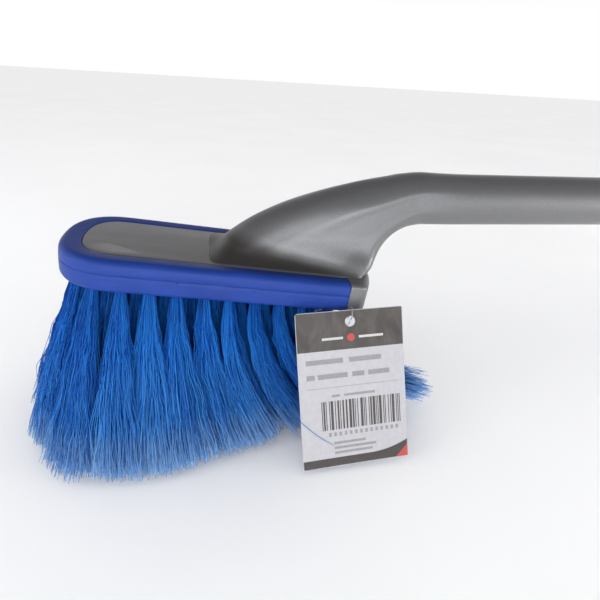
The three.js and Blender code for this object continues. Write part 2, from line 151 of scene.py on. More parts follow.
def loft_mesh(rings, closed=False):
    """Vertices and faces of the skin through equal rings, capped at both ends unless it closes on itself."""
    count = len(rings[0])
    vertices = np.concatenate(rings)
    faces = []
    spans = len(rings) if closed else len(rings) - 1
    for r in range(spans):
        a = r * count
        b = ((r + 1) % len(rings)) * count
        for s in range(count):
            t = (s + 1) % count
            faces.append((a + s, a + t, b + t, b + s))
    if not closed:
        last = (len(rings) - 1) * count
        faces.append(tuple(range(count - 1, -1, -1)))
        faces.append(tuple(range(last, last + count)))
    return vertices, faces


def loft_group(ring_sets):
    """Vertices and faces of several capped lofts in one mesh."""
    vertices, faces = [], []
    for rings in ring_sets:
        v, f = loft_mesh(rings)
        faces += [tuple(i + len(vertices) for i in face) for face in f]
        vertices += list(v)
    return vertices, faces


def outward(obj):
    """Turn every face outwards."""
    bm = bmesh.new()
    bm.from_mesh(obj.data)
    bmesh.ops.recalc_face_normals(bm, faces=bm.faces)
    bm.to_mesh(obj.data)
    bm.free()
    return obj


def loft_object(name, rings, material, smooth_angle=None, closed=False):
    vertices, faces = loft_mesh(rings, closed)
    return outward(mesh_object(name, vertices, faces, material, smooth_angle))


def boolean(obj, other, operation):
    """Join another object to this one or cut it away, and remove the other."""
    modifier = obj.modifiers.new(operation, "BOOLEAN")
    modifier.operation = operation
    modifier.object = other
    modifier.solver = "EXACT"
    bpy.context.view_layer.update()
    evaluated = obj.evaluated_get(bpy.context.evaluated_depsgraph_get())
    mesh = bpy.data.meshes.new_from_object(evaluated)
    obj.modifiers.clear()
    obj.data = mesh
    bpy.data.objects.remove(other)


def circle_points(sides):
    turn = np.linspace(0, 2 * math.pi, sides, endpoint=False)
    return np.column_stack([np.cos(turn), np.sin(turn)])


def hermite(a, b, slope_a, slope_b, u):
    """Cubic from a to b with these slopes at its ends, at u from 0 to 1."""
    return ((2 * u**3 - 3 * u**2 + 1) * a + (u**3 - 2 * u**2 + u) * slope_a
            + (3 * u**2 - 2 * u**3) * b + (u**3 - u**2) * slope_b)


# Materials

def fill_ramp(node, stops):
    elements = node.color_ramp.elements
    while len(elements) < len(stops):
        elements.new(0.5)
    for element, (position, colour) in zip(elements, stops):
        element.position = position
        element.color = (*colour, 1)


class Material:
    """A node material round one Principled shader, with short calls for what it is made of."""

    def __init__(self, name, **inputs):
        self.material = bpy.data.materials.new(name)
        self.material.use_nodes = True
        self.nodes = self.material.node_tree.nodes
        self.links = self.material.node_tree.links
        self.shader = self.nodes["Principled BSDF"]
        for key, value in inputs.items():
            self.shader.inputs[key.replace("_", " ")].default_value = value
        self.coordinates = self.nodes.new("ShaderNodeTexCoord").outputs["Object"]

    def link(self, a, b):
        self.links.new(a, b)

    def noise(self, scale, detail=4.0, roughness=0.5, stretch=None, distortion=0.0):
        node = self.nodes.new("ShaderNodeTexNoise")
        node.inputs["Scale"].default_value = scale
        node.inputs["Detail"].default_value = detail
        node.inputs["Roughness"].default_value = roughness
        node.inputs["Distortion"].default_value = distortion
        source = self.coordinates
        if stretch is not None:
            mapping = self.nodes.new("ShaderNodeMapping")
            mapping.inputs["Scale"].default_value = stretch
            self.link(source, mapping.inputs["Vector"])
            source = mapping.outputs["Vector"]
        self.link(source, node.inputs["Vector"])
        return node.outputs["Fac"]

    def ramp(self, source, stops):
        node = self.nodes.new("ShaderNodeValToRGB")
        fill_ramp(node, stops)
        self.link(source, node.inputs["Fac"])
        return node.outputs["Color"]

    def remap(self, source, low, high, to_low, to_high):
        node = self.nodes.new("ShaderNodeMapRange")
        for key, value in zip(("From Min", "From Max", "To Min", "To Max"), (low, high, to_low, to_high)):
            node.inputs[key].default_value = value
        self.link(source, node.inputs["Value"])
        return node.outputs["Result"]

    def mix(self, factor, a, b):
        node = self.nodes.new("ShaderNodeMix")
        node.data_type = "RGBA"
        for socket, value in ((node.inputs[0], factor), (node.inputs[6], a), (node.inputs[7], b)):
            if isinstance(value, bpy.types.NodeSocket):
                self.link(value, socket)
            else:
                socket.default_value = (*value, 1)
        return node.outputs[2]

    def add(self, a, b, operation="ADD"):
        node = self.nodes.new("ShaderNodeMath")
        node.operation = operation
        for socket, value in zip(node.inputs, (a, b)):
            if isinstance(value, bpy.types.NodeSocket):
                self.link(value, socket)
            else:
                socket.default_value = value
        return node.outputs[0]

    def bump(self, height, distance):
        node = self.nodes.new("ShaderNodeBump")
        node.inputs["Distance"].default_value = distance
        self.link(height, node.inputs["Height"])
        self.link(node.outputs["Normal"], self.shader.inputs["Normal"])

    def colour(self, source):
        self.link(source, self.shader.inputs["Base Color"])

    def roughness(self, source):
        self.link(source, self.shader.inputs["Roughness"])


COVE_SLOPE = 0.18  # fall of the painted shade's upper limit along the foot
COVE_LOW, COVE_HIGH = -0.0025, 0.0035  # metres about that limit, between which the painted shade fades out
COVE_RAGGED = 0.0008
COVE_SHADE_BROWN = (0.055, 0.048, 0.042)


def silver_plastic(name, cove=False):
    """Metallic-grey moulding: fine flake in the colour, soft flow marks and faint handling scuffs. On the neck,
    brownish painted shade darkens the cove along its foot, up to a height that falls towards the heel."""
    m = Material(name, Metallic=0.55, Roughness=0.4, Specular_IOR_Level=0.4)
    flake = m.noise(2600, 2)
    flow = m.noise(26, 3, stretch=(0.35, 1.0, 1.0))
    base = m.ramp(flow, [(0.3, (0.188, 0.187, 0.19)), (0.7, (0.22, 0.219, 0.222))])
    skin = m.mix(m.remap(flake, 0.45, 0.75, 0.0, 0.4), base, (0.34, 0.34, 0.35))
    # Painted shade: below a ragged height over the neck's foot, the colour is mixed towards a dark brown,
    # darkening the cove.
    if cove:
        up = PITCH_TURN @ np.array([COVE_SLOPE, 0.0, 1.0])
        height = m.nodes.new("ShaderNodeVectorMath")
        height.operation = "DOT_PRODUCT"
        height.inputs[1].default_value = up
        m.link(m.coordinates, height.inputs[0])
        foot = float(up @ np.array(ORIGIN)) * MM
        wander = m.remap(m.noise(70, 4), 0.3, 0.7, -COVE_RAGGED, COVE_RAGGED)
        ragged = m.add(height.outputs["Value"], wander)
        skin = m.mix(m.remap(ragged, foot + COVE_LOW, foot + COVE_HIGH, 0.8, 0.0), skin, COVE_SHADE_BROWN)
    m.colour(skin)
    scuff = m.noise(90, 6, 0.65, stretch=(0.15, 1.0, 1.0))
    m.roughness(m.remap(scuff, 0.35, 0.7, 0.36, 0.45))
    m.bump(m.add(m.noise(1500, 3), m.add(flow, 4.0, "MULTIPLY")), 0.00003)
    return m.material


def bumper_rubber():
    """Soft moulded rubber: slight mottle, paler rubbed patches, and an eggshell skin."""
    m = Material("bumper_rubber", Roughness=0.5, Specular_IOR_Level=0.35)
    mottle = m.noise(55, 5, 0.6)
    base = m.ramp(mottle, [(0.3, (0.008, 0.042, 0.28)), (0.7, (0.014, 0.058, 0.35))])
    rub = m.noise(160, 6, 0.7, stretch=(0.2, 0.2, 1.0))
    m.colour(m.mix(m.remap(rub, 0.56, 0.78, 0.0, 0.5), base, (0.04, 0.095, 0.42)))
    m.roughness(m.remap(mottle, 0.3, 0.7, 0.44, 0.58))
    m.bump(m.add(m.noise(900, 4, 0.6), m.noise(140, 3)), 0.00006)
    return m.material


def grip_rubber():
    m = Material("grip_rubber", Roughness=0.68)
    mottle = m.noise(70, 5, 0.6)
    m.colour(m.ramp(mottle, [(0.3, (0.016, 0.022, 0.12)), (0.72, (0.03, 0.042, 0.19))]))
    m.roughness(m.remap(mottle, 0.3, 0.7, 0.6, 0.76))
    m.bump(m.noise(1300, 3, 0.6), 0.00012)
    return m.material


def cap_plastic():
    m = Material("cap_plastic", Roughness=0.36)
    mottle = m.noise(60, 4)
    m.colour(m.ramp(mottle, [(0.3, (0.024, 0.042, 0.3)), (0.7, (0.034, 0.058, 0.37))]))
    m.roughness(m.remap(m.noise(300, 5, 0.65), 0.35, 0.7, 0.3, 0.46))
    m.bump(m.noise(800, 3), 0.00003)
    return m.material


def fibre_plastic():
    """Blue filament. The OFBake map runs 0 to 1 across the shades of single fibres, and from root to tip."""
    m = Material("fibre", Roughness=0.42, Specular_IOR_Level=0.3, Specular_Tint=(0.35, 0.75, 1.0, 1.0))
    node = m.nodes.new("ShaderNodeUVMap")
    node.uv_map = "OFBake"
    split = m.nodes.new("ShaderNodeSeparateXYZ")
    m.link(node.outputs["UV"], split.inputs[0])
    shade, along = split.outputs[0], split.outputs[1]
    dark = m.ramp(along, [(0.0, (0.0, 0.03, 0.22)), (0.4, (0.002, 0.06, 0.42)),
                          (0.8, (0.006, 0.1, 0.5)), (1.0, (0.09, 0.26, 0.62))])
    pale = m.ramp(along, [(0.0, (0.005, 0.15, 0.62)), (0.4, (0.03, 0.3, 0.92)),
                          (0.8, (0.08, 0.37, 0.9)), (1.0, (0.36, 0.58, 0.9))])
    m.colour(m.mix(shade, dark, pale))
    m.roughness(m.remap(along, 0.0, 1.0, 0.36, 0.5))
    return m.material


def card_white():
    """Coated card with faint mill grain."""
    m = Material("card_white", Roughness=0.55)
    grain = m.noise(420, 5, 0.6)
    m.colour(m.ramp(grain, [(0.3, (0.56, 0.545, 0.57)), (0.7, (0.63, 0.61, 0.64))]))
    m.roughness(m.remap(grain, 0.3, 0.7, 0.48, 0.62))
    m.bump(m.noise(1800, 3), 0.00001)
    return m.material


def ink_dark():
    """Brown-grey ink of the header: cloudy, with faint streaks."""
    m = Material("ink_dark", Roughness=0.45)
    streaks = m.noise(45, 3, 0.5, stretch=(1.6, 1.0, 0.8), distortion=2.5)
    cloud = m.ramp(m.noise(60, 4), [(0.3, (0.062, 0.053, 0.048)), (0.7, (0.095, 0.082, 0.075))])
    m.colour(m.mix(m.remap(streaks, 0.45, 0.75, 0.0, 0.6), cloud, (0.16, 0.14, 0.127)))
    m.roughness(m.remap(m.noise(300, 3), 0.3, 0.7, 0.38, 0.52))
    return m.material


def ink(name, dark, pale, roughness=0.5):
    """A printed ink: the colour breaks up a little where the card's grain shows through."""
    m = Material(name, Roughness=roughness)
    m.colour(m.ramp(m.noise(1500, 4, 0.6), [(0.35, dark), (0.75, pale)]))
    m.roughness(m.remap(m.noise(500, 3), 0.3, 0.7, roughness - 0.08, roughness + 0.08))
    return m.material


def nylon():
    m = Material("nylon", Roughness=0.28, IOR=1.53, Transmission_Weight=0.85)
    m.colour(m.ramp(m.noise(700, 3), [(0.3, (0.78, 0.8, 0.81)), (0.7, (0.88, 0.9, 0.9))]))
    m.roughness(m.remap(m.noise(900, 3), 0.3, 0.7, 0.22, 0.36))
    return m.material


def floor_finish():
    m = Material("floor", Roughness=0.75)
    m.colour(m.ramp(m.noise(4, 3), [(0.3, (0.86, 0.86, 0.865)), (0.7, (0.89, 0.89, 0.89))]))
    return m.material


# Head

def head_outline(x_heel, side_steps, toe_steps):
    """Near side, rounded toe, far side: points and their inward normals, in plan."""
    half = HEAD_WIDTH / 2
    x_toe = TOE_DEPTH - HEAD_LENGTH
    side = np.linspace(x_heel, x_toe, side_steps, endpoint=False)
    near = [((x, -half), (0.0, 1.0)) for x in side]
    far = [((x, half), (0.0, -1.0)) for x in side[::-1]]
    toe = []
    for t in np.linspace(-math.pi / 2, math.pi / 2, toe_steps + 1):
        cx = abs(math.cos(t)) ** (2 / TOE_POWER)
        sy = float(powered(math.sin(t), TOE_POWER))
        normal = np.array([cx ** (TOE_POWER - 1) / TOE_DEPTH,
                           -math.copysign(abs(sy) ** (TOE_POWER - 1), sy) / half])
        toe.append(((x_toe - TOE_DEPTH * cx, half * sy), tuple(normal / np.linalg.norm(normal))))
    path = near + toe + far
    return np.array([p for p, n in path]), np.array([n for p, n in path])


def arc(centre, radius, start, end, steps):
    """Points on an arc, angles in degrees."""
    angles = np.radians(np.linspace(start, end, steps + 1))
    return [(centre[0] + radius * math.cos(a), centre[1] + radius * math.sin(a)) for a in angles]


def bumper_section():
    """The band's closed section: distance in from the outer face, and height."""
    line = -0.43 * HEAD_HEIGHT
    inner_edge = [(LIP_WIDTH, -LIP_THICKNESS), (LIP_WIDTH, -1.1)] + arc((LIP_WIDTH - 0.8, -1.15), 0.8, 20, 80, 4)
    top = [(LIP_WIDTH - 2.4, -0.22), (LIP_WIDTH - 4.6, -0.02), (3.9, 0.0)] + arc((3.5, -3.3), 3.3, 96, 172, 10)
    wall = [(0.08, -4.4), (0.0, line + 0.4), (0.22, line + 0.1), (0.3, line), (0.22, line - 0.1),
            (0.0, line - 0.4), (0.0, -8.6), (0.04, -10.6)]
    foot = arc((2.7, 2.6 - HEAD_HEIGHT), 2.6, 188, 268, 8)
    inner = [(BUMPER_WALL, -HEAD_HEIGHT), (BUMPER_WALL, -LIP_THICKNESS)]
    return np.array(inner_edge + top + wall + foot + inner)


BUMPER_NICKS = [
    # small cuts in the near wall: along the head, height, half length, half height
    (-43.9, -6.3, 0.7, 0.35), (-46.2, -7.9, 0.8, 0.25), (-50.0, -5.9, 0.35, 0.5), (-81.0, -7.1, 0.5, 0.2),
]


def bumper_piece(material):
    points, normals = head_outline(0.0, 26, 72)
    section = bumper_section()
    rings = []
    for i, (p, n) in enumerate(zip(points, normals)):
        ring = np.empty((len(section), 3))
        wander = 0.05 * math.sin(i * 0.21) + 0.03 * math.sin(i * 0.53 + 1)
        ring[:, :2] = p + n * (section[:, :1] + wander * (section[:, :1] < 3))
        ring[:, 2] = section[:, 1]
        rings.append(ring)
    band = loft_object("bumper_band", [head_point(r) for r in rings], material, 50)
    nicks = []
    for x, z, length, height in BUMPER_NICKS:
        y = -HEAD_WIDTH / 2
        low, high = [], []
        for dx, dz in ((-length, 0), (0, -height), (length, 0), (0, height)):
            low.append((x + dx * 1.4, y - 0.4, z + dz * 1.4))
            high.append((x + dx * 0.4, y + 0.55, z + dz * 0.4))
        nicks.append([head_point(low), head_point(high)])
    boolean(band, outward(mesh_object("nicks", *loft_group(nicks), material)), "DIFFERENCE")
    set_shading(band.data, 50)
    return band


def slab_rings(inset_heights, x_heel):
    points, normals = head_outline(x_heel, 4, 64)
    rings = []
    for inset, z in inset_heights:
        ring = np.empty((len(points), 3))
        ring[:, :2] = points + normals * inset
        ring[:, 2] = z
        rings.append(head_point(ring))
    return rings


def heel_outline(inset):
    """Plan of the bare heel: square to the bumper, rounded corners, bulged end."""
    samples = 9
    corner = 5.5
    side_gap, front = 0.15, 0.25  # clear of the bumper
    half = HEAD_WIDTH / 2 - side_gap - inset
    side = HEEL_SIDE - inset
    points = [(front, -half)]
    points += arc((side - corner, corner - half), corner, -90, -12, samples)
    bulge = np.linspace(-1, 1, 2 * samples + 1)
    reach = half - corner + 1
    points += [(side + HEEL_BULGE * (1 - b * b) + 0.2, reach * b) for b in bulge[1:-1]]
    points += arc((side - corner, half - corner), corner, 12, 90, samples)
    points.append((front, half))
    return np.array(points)


def heel_rings():
    edge = 2.2
    turn = np.radians(np.linspace(0, 90, 6))
    profile = [(edge * (1 - math.sin(a)), edge * (1 - math.cos(a)) - HEAD_HEIGHT) for a in turn]
    profile += [(edge * (1 - math.cos(a)), -edge * (1 - math.sin(a))) for a in turn]
    plans = [(heel_outline(inset), z) for inset, z in profile]
    return [head_point(np.column_stack([plan, np.full(len(plan), z)])) for plan, z in plans]


PANEL_SCRATCH = ((-119.3, -8.3), (-97.5, -20.0))  # the ends of a faint line in the panel's skin
SCRATCH_BOW = 1.2
SCRATCH_DEPTH = 0.14
SCRATCH_WIDTHS = ((0, 0.05), (0.3, 0.35), (0.7, 0.4), (1, 0.05))  # share of its length, half width
DRILL_SIDES = 14
HOLE_CHAMFER = 0.6


def drill_rings(x, y):
    mouth = HOLE_RADIUS + HOLE_CHAMFER
    profile = ((mouth, -HEAD_HEIGHT - 1), (mouth, -HEAD_HEIGHT), (HOLE_RADIUS, HOLE_CHAMFER - HEAD_HEIGHT),
               (HOLE_RADIUS, HOLE_DEPTH - HEAD_HEIGHT))
    return [head_point(np.column_stack([circle_points(DRILL_SIDES) * radius + (x, y), np.full(DRILL_SIDES, z)]))
            for radius, z in profile]


def scratch_rings():
    start, end = np.array(PANEL_SCRATCH)
    length = np.linalg.norm(end - start)
    along = (end - start) / length
    aside = np.array([-along[1], along[0]])
    top, bottom = 0.3 - PANEL_DROP, -SCRATCH_DEPTH - PANEL_DROP
    rings = []
    for share, width in SCRATCH_WIDTHS:
        middle = start + along * share * length + aside * SCRATCH_BOW * math.sin(math.pi * share)
        rings.append(head_point([(*(middle - aside * width), top), (*(middle + aside * width), top),
                                 (*(middle + aside * 0.6 * width), bottom)]))
    return rings


def block_piece(material):
    """Block core with its raised panel, bare heel, and a drilled hole for each tuft."""
    step = LIP_THICKNESS + 0.3
    core = loft_object("head_block", slab_rings([
        (BUMPER_WALL + 1.3, -HEAD_HEIGHT), (BUMPER_WALL + 0.3, 0.9 - HEAD_HEIGHT), (BUMPER_WALL + 0.3, -step),
        (LIP_WIDTH + 0.15, -step), (LIP_WIDTH + 0.15, -PANEL_DROP - 0.5), (LIP_WIDTH + 0.25, -PANEL_DROP - 0.25),
        (LIP_WIDTH + 0.5, -PANEL_DROP - 0.06), (LIP_WIDTH + 0.9, -PANEL_DROP),
    ], 2.0), material)
    boolean(core, loft_object("heel", heel_rings(), material), "UNION")
    cuts = [drill_rings(x, y) for x, y in tuft_roots()] + [scratch_rings()]
    boolean(core, outward(mesh_object("drill", *loft_group(cuts), material)), "DIFFERENCE")
    set_shading(core.data, 38)
    return core


# Neck: sections that fan round a line across the brush, from the foot on the block to the level tube. Each has
# a flat underside, a ridge at its side, a leaning flat facet, a crease, and a rounded back.

NECK_PIVOT = (45.3, 0.0)
NECK_SECTIONS = [
    # fan angle, distance to underside, ridge (distance, half width), crease, shoulder, and distance to back
    (180, 31, 37.6, 23.3, 98, 22.7, 110.5, 21.3, 112.5),
    (179.3, 30.6, 37, 22.9, 95.5, 20, 107, 17.5, 110),
    (178.4, 30, 36.3, 22.5, 93, 17.6, 104.5, 14.6, 108),
    (176, 29, 35.2, 21.8, 88, 15.6, 100, 12.2, 104.8),
    (172, 28, 34, 20.8, 81, 14.9, 93.5, 10.8, 99),
    (164, 27.5, 33.2, 18.4, 69.8, 14.4, 82.5, 9.8, 86.9),
    (154, 27.4, 33.8, 16.9, 60.5, 14.2, 71, 9.2, 74.4),
    (143.5, 27.5, 34.4, 15.8, 53.8, 14.2, 62, 8.8, 65.4),
    (133, 27.6, 34.4, 15, 49.3, 13.9, 56.4, 8.5, 59.4),
    (121, 27.2, 34.8, 14.2, 46.8, 13, 53, 7.8, 55.1),
    (109, 26.5, 35.4, 13.6, 46, 12.3, 51.6, 7.2, 53.5),
]
FACET_FLAT = 0.4  # flat share of the side facet
RIDGE_FADE = 14.0


def spline(table, t):
    """Smooth curve through rows of a table, whose first column runs steadily down."""
    table = np.asarray(table, float)[::-1]
    keys = table[:, 0]
    steps = np.diff(keys)[:, None]
    chords = np.diff(table, axis=0) / steps
    slopes = np.vstack([chords[:1], (chords[1:] + chords[:-1]) / 2, chords[-1:]])
    i = int(np.clip(np.searchsorted(keys, t) - 1, 0, len(keys) - 2))
    h = keys[i + 1] - keys[i]
    u = (t - keys[i]) / h
    return hermite(table[i], table[i + 1], h * slopes[i], h * slopes[i + 1], u)


def round_curve(keys, per_span, power=0.5):
    """Catmull-Rom curve through a closed row of points: centripetal, or uniform with a power of 0."""
    keys = np.asarray(keys, float)
    n = len(keys)
    points = []
    for i in range(n):
        a, b, c, d = keys[i - 1], keys[i], keys[(i + 1) % n], keys[(i + 2) % n]
        ab, bc, cd = (max(np.linalg.norm(q - p) ** power, 1e-4) for p, q in ((a, b), (b, c), (c, d)))
        start = (b - a) / ab - (c - a) / (ab + bc) + (c - b) / bc
        end = (c - b) / bc - (d - b) / (bc + cd) + (d - c) / cd
        points += [hermite(b, c, start * bc, end * bc, u) for u in np.linspace(0, 1, per_span, endpoint=False)]
    return np.array(points)


def neck_outline(row):
    """A section's outline: distance from the pivot, distance across."""
    under, back = row[1], row[8]
    ridge, crease, shoulder = row[2:4], row[4:6], row[6:8]
    belly = (under + 0.28 * (ridge[0] - under), 0.66 * ridge[1])
    facet = [ridge + (crease - ridge) * share for share in ((1 - FACET_FLAT) / 2, (1 + FACET_FLAT) / 2)]
    side = [belly, ridge, *facet, crease, shoulder]
    far = [(d, -y) for d, y in side[::-1]]
    return round_curve([(under, 0), *side, (back, 0), *far], 9)


def neck_ring(outline, angle):
    t = math.radians(angle)
    d, y = outline.T
    return head_point(np.column_stack([NECK_PIVOT[0] + d * math.cos(t), y, NECK_PIVOT[1] + d * math.sin(t)]))


def neck_piece(material):
    level_pivot_z = -NECK_PIVOT[0] * math.sin(HEAD_PITCH) + NECK_PIVOT[1] * math.cos(HEAD_PITCH)
    axis = np.array([TUBE_HEIGHT - level_pivot_z, 0.0])
    level = 90 + math.degrees(HEAD_PITCH)
    foot = list(180 - 4 * np.linspace(0, 1, 25) ** 1.6)
    angles = foot + list(np.linspace(176, NECK_SECTIONS[-1][0], 60)[1:])
    rings = [neck_ring(neck_outline(spline(NECK_SECTIONS, a)), a) for a in angles]
    rings.insert(0, rings[0] - (head_point([0, 0, LIP_THICKNESS]) - head_point([0, 0, 0])))
    last = neck_outline(np.array(NECK_SECTIONS[-1], float))
    arms = last - axis
    circle = axis + arms * (TUBE_RADIUS / np.linalg.norm(arms, axis=1))[:, None]

    def fading(share):
        return last + (circle - last) * share

    bend = math.radians(NECK_SECTIONS[-1][0] - level) * axis[0]
    run = bend + 1.8 * RIDGE_FADE

    def eased(travelled):
        u = min(travelled / run, 1.0)
        return u * (2 - u)

    for share in np.linspace(0, 1, 13)[1:]:
        angle = NECK_SECTIONS[-1][0] + (level - NECK_SECTIONS[-1][0]) * share
        rings.append(neck_ring(fading(eased(bend * share)), angle))
    length = TUBE_END - NECK_PIVOT[0] * math.cos(HEAD_PITCH) - NECK_PIVOT[1] * math.sin(HEAD_PITCH)
    faded = run - bend
    for distance in list(np.linspace(0, faded, 15)[1:]) + list(np.linspace(faded, length, 12)[1:]):
        ring = neck_ring(fading(eased(bend + distance)), level)
        ring[:, 0] += distance * MM
        rings.append(ring)
    return loft_object("neck_and_tube", rings, material, 60)


# Tufts

def tuft_roots():
    outer = HEAD_WIDTH / 2 - TUFT_INSET
    rows = [
        (-outer, FIRST_TUFT, TUFTS_PER_SIDE),
        (outer, FIRST_TUFT, TUFTS_PER_SIDE),
        (-ROW_PITCH, FIRST_TUFT - TUFT_PITCH / 2, TUFTS_PER_SIDE),
        (ROW_PITCH, FIRST_TUFT - TUFT_PITCH / 2, TUFTS_PER_SIDE),
        (0.0, FIRST_TUFT, TUFTS_PER_SIDE + 1),
    ]
    roots = [(first - i * TUFT_PITCH, y) for y, first, count in rows for i in range(count)]
    toe_x = FIRST_TUFT - (TUFTS_PER_SIDE - 1) * TUFT_PITCH
    reach = HEAD_LENGTH - TUFT_INSET + toe_x
    for i in range(1, TOE_TUFTS + 1):
        t = math.pi * i / (TOE_TUFTS + 1)
        roots.append((toe_x - reach * float(powered(math.sin(t), TOE_POWER)),
                      -outer * float(powered(math.cos(t), TOE_POWER))))
    return roots


def head_to_level(point):
    return PITCH_TURN @ np.asarray(point, float)


def toeward_share(x):
    return (FIRST_TUFT - x) / (HEAD_LENGTH - TUFT_INSET + FIRST_TUFT)


def tuft_tip(x, y):
    toeward = toeward_share(x)
    root = head_to_level((x, y, -HEAD_HEIGHT))
    sideward = y / (HEAD_WIDTH / 2 - TUFT_INSET)
    swept = HEEL_SWEEP * math.exp(-((toeward / HEEL_SWEEP_FADE) ** 1.5))
    swept *= 1 - HEEL_SWEEP_LOSS * (sideward + 1) / 2
    splayed = TOE_SPLAY * toeward**3 * (1 - TOE_SPLAY_LOSS * sideward**2)
    grown = min(max((toeward - FLARE_FROM) / (FLARE_TO - FLARE_FROM), 0.0), 1.0)
    flare = sideward * (FLARE_HEEL + (FLARE_TOE - FLARE_HEEL) * grown * grown * (3 - 2 * grown))
    lift = HEEL_LIFT * math.exp(-toeward / HEEL_LIFT_FADE)
    return np.array([root[0] + swept - splayed, root[1] + flare, lift - STAND_HEIGHT])


FIBRES_PER_TUFT = 680
FIBRE_RINGS = 15
FIBRE_SIDES = 3
FIBRE_RADII = ([0, 0.2, 0.85, 1], [0.12, 0.15, 0.16, 0.13])  # share of the length from the root, radius
ANCHOR_HEIGHT = 6.0  # where fibres start inside the block, above its underside
STRANDS = 22  # a tuft's fibres cling together in so many strands
ROOT_SPREAD = 2.75
ROOT_OWN_SHARE = 0.42  # how far a fibre keeps its own place at the root, and not its strand's
STRAND_SPREAD = 8.5  # of the strands at the tip
OWN_SPREAD = 5.5  # of a strand's fibres there
TIP_SCATTER = 1.4
TIP_REACH = 11.5  # most that a fibre ends from the tuft's middle
OUTWARD_SPREAD, SIDEWAYS_SPREAD = 0.75, 1.3  # the fan is narrower along the tuft's lean than across it
SHORTER_OWN, SHORTER_STRAND = 2.4, 3.2
EDGE_RISE, OUTWARD_RISE = 0.06, 0.3  # a fibre ends higher by these shares of its way from the middle
SWAY = dict(strand_size=1.1, own_size=0.7, turns=(0.7, 1.5), jitter=0.3)
CRIMP = dict(strand_size=0.42, own_size=0.26, turns=(3.0, 5.0), jitter=0.5)
PALE_SHARE, PALE_BOOST = 0.07, 0.5  # some fibres stand out pale
PAINTED_HIGHLIGHT_PLACE, PAINTED_HIGHLIGHT_WIDTH, PAINTED_HIGHLIGHT = 0.16, 0.12, 0.3  # painted highlight: fibres on the near side, near the heel, are made paler in colour


def disc_places(rng, count, least):
    """Random places in a disc of radius 1."""
    turn = rng.uniform(0, 2 * math.pi, count)
    return np.column_stack([np.cos(turn), np.sin(turn)]) * np.sqrt(rng.uniform(least, 1, count))[:, None]


def wave(rng, strand, strand_size, own_size, turns, jitter):
    """Sideways size, number of turns and start of each fibre's wave, mostly shared within its strand."""
    count = len(strand)
    size = rng.normal(0, strand_size, (STRANDS, 2))[strand] + rng.normal(0, own_size, (count, 2))
    number = rng.uniform(*turns, STRANDS)[strand]
    start = rng.uniform(0, 2 * math.pi, STRANDS)[strand] + rng.normal(0, jitter, count)
    return size, number, start


def wave_offset(terms, t, growth):
    size, number, start = terms
    return size * (np.sin(start + 2 * math.pi * number * t) * growth)[:, None]


def tip_places(rng, strand, strand_xy, own, out_xy):
    """Where fibres end, across and along the tuft's lean, and how far they end above its tip."""
    count = len(strand)
    tip_xy = strand_xy[strand] * STRAND_SPREAD + own * OWN_SPREAD + rng.normal(0, TIP_SCATTER, (count, 2))
    reach = np.linalg.norm(tip_xy, axis=1)
    tip_xy *= (np.minimum(reach, TIP_REACH) / np.maximum(reach, 1e-6))[:, None]
    shorter = np.abs(rng.normal(0, SHORTER_OWN, count)) + rng.uniform(0, SHORTER_STRAND, STRANDS)[strand]
    outward_part = (tip_xy @ out_xy)[:, None] * out_xy
    tip_xy = OUTWARD_SPREAD * outward_part + SIDEWAYS_SPREAD * (tip_xy - outward_part)
    return tip_xy, reach * EDGE_RISE + shorter + np.clip(tip_xy @ out_xy, 0, None) * OUTWARD_RISE


def fibre_shades(rng, strand, x, y):
    count = len(strand)
    shade = rng.normal(0.4, 0.2, STRANDS)[strand] + rng.normal(0, 0.2, count)
    shade += PALE_BOOST * (rng.uniform(0, 1, count) > 1 - PALE_SHARE)
    # Painted highlight: fibres of the near side, near the heel, get a paler colour.
    painted_highlight = PAINTED_HIGHLIGHT * math.exp(-(((toeward_share(x) - PAINTED_HIGHLIGHT_PLACE) / PAINTED_HIGHLIGHT_WIDTH) ** 2)) * (y < 0)
    shade += painted_highlight * rng.uniform(0, 1, STRANDS)[strand]
    return np.clip(shade, 0.02, 0.98)


def fibre_paths(x, y, rng, count):
    """Centre lines of one tuft's fibres, count x FIBRE_RINGS x 3, in the level frame, and each fibre's shade."""
    mouth = head_to_level((x, y, -HEAD_HEIGHT))
    deep = head_to_level((x, y, ANCHOR_HEIGHT - HEAD_HEIGHT))
    tip = tuft_tip(x, y)
    lean = TOE_ROOT_LEAN * toeward_share(x) ** 2
    bend = head_to_level((x, y, -HEAD_HEIGHT - TUFT_STIFF_LENGTH)) + lean * (tip - mouth) * (1, 1, 0)
    strand = rng.integers(0, STRANDS, count)
    strand_xy = disc_places(rng, STRANDS, 0.02)
    own = disc_places(rng, count, 0)
    root_xy = ((1 - ROOT_OWN_SHARE) * strand_xy[strand] + ROOT_OWN_SHARE * own) * ROOT_SPREAD
    out_xy = (tip - mouth)[:2]
    out_xy = out_xy / max(np.linalg.norm(out_xy), 1e-6)
    tip_xy, rise = tip_places(rng, strand, strand_xy, own, out_xy)
    starts, mids, ends = (np.tile(point, (count, 1)) for point in (mouth, bend, tip))
    starts[:, :2] += root_xy
    mids[:, :2] += root_xy * 1.05 + tip_xy * 0.3
    ends[:, :2] += tip_xy
    ends[:, 2] += rise
    sway = wave(rng, strand, **SWAY)
    crimp = wave(rng, strand, **CRIMP)
    paths = np.empty((count, FIBRE_RINGS, 3))
    for k, t in enumerate(np.linspace(0, 1, FIBRE_RINGS - 1)):
        point = starts * (1 - t) ** 2 + mids * 2 * t * (1 - t) + ends * t**2
        point[:, :2] += wave_offset(sway, t, t * 1.1) + wave_offset(crimp, t, min(1.0, 3 * t))
        paths[:, k + 1] = point
    paths[:, 0] = deep
    paths[:, 0, :2] += root_xy * 0.9
    paths[:, :, 2] = np.maximum(paths[:, :, 2], 0.25 - STAND_HEIGHT)
    return paths, fibre_shades(rng, strand, x, y)


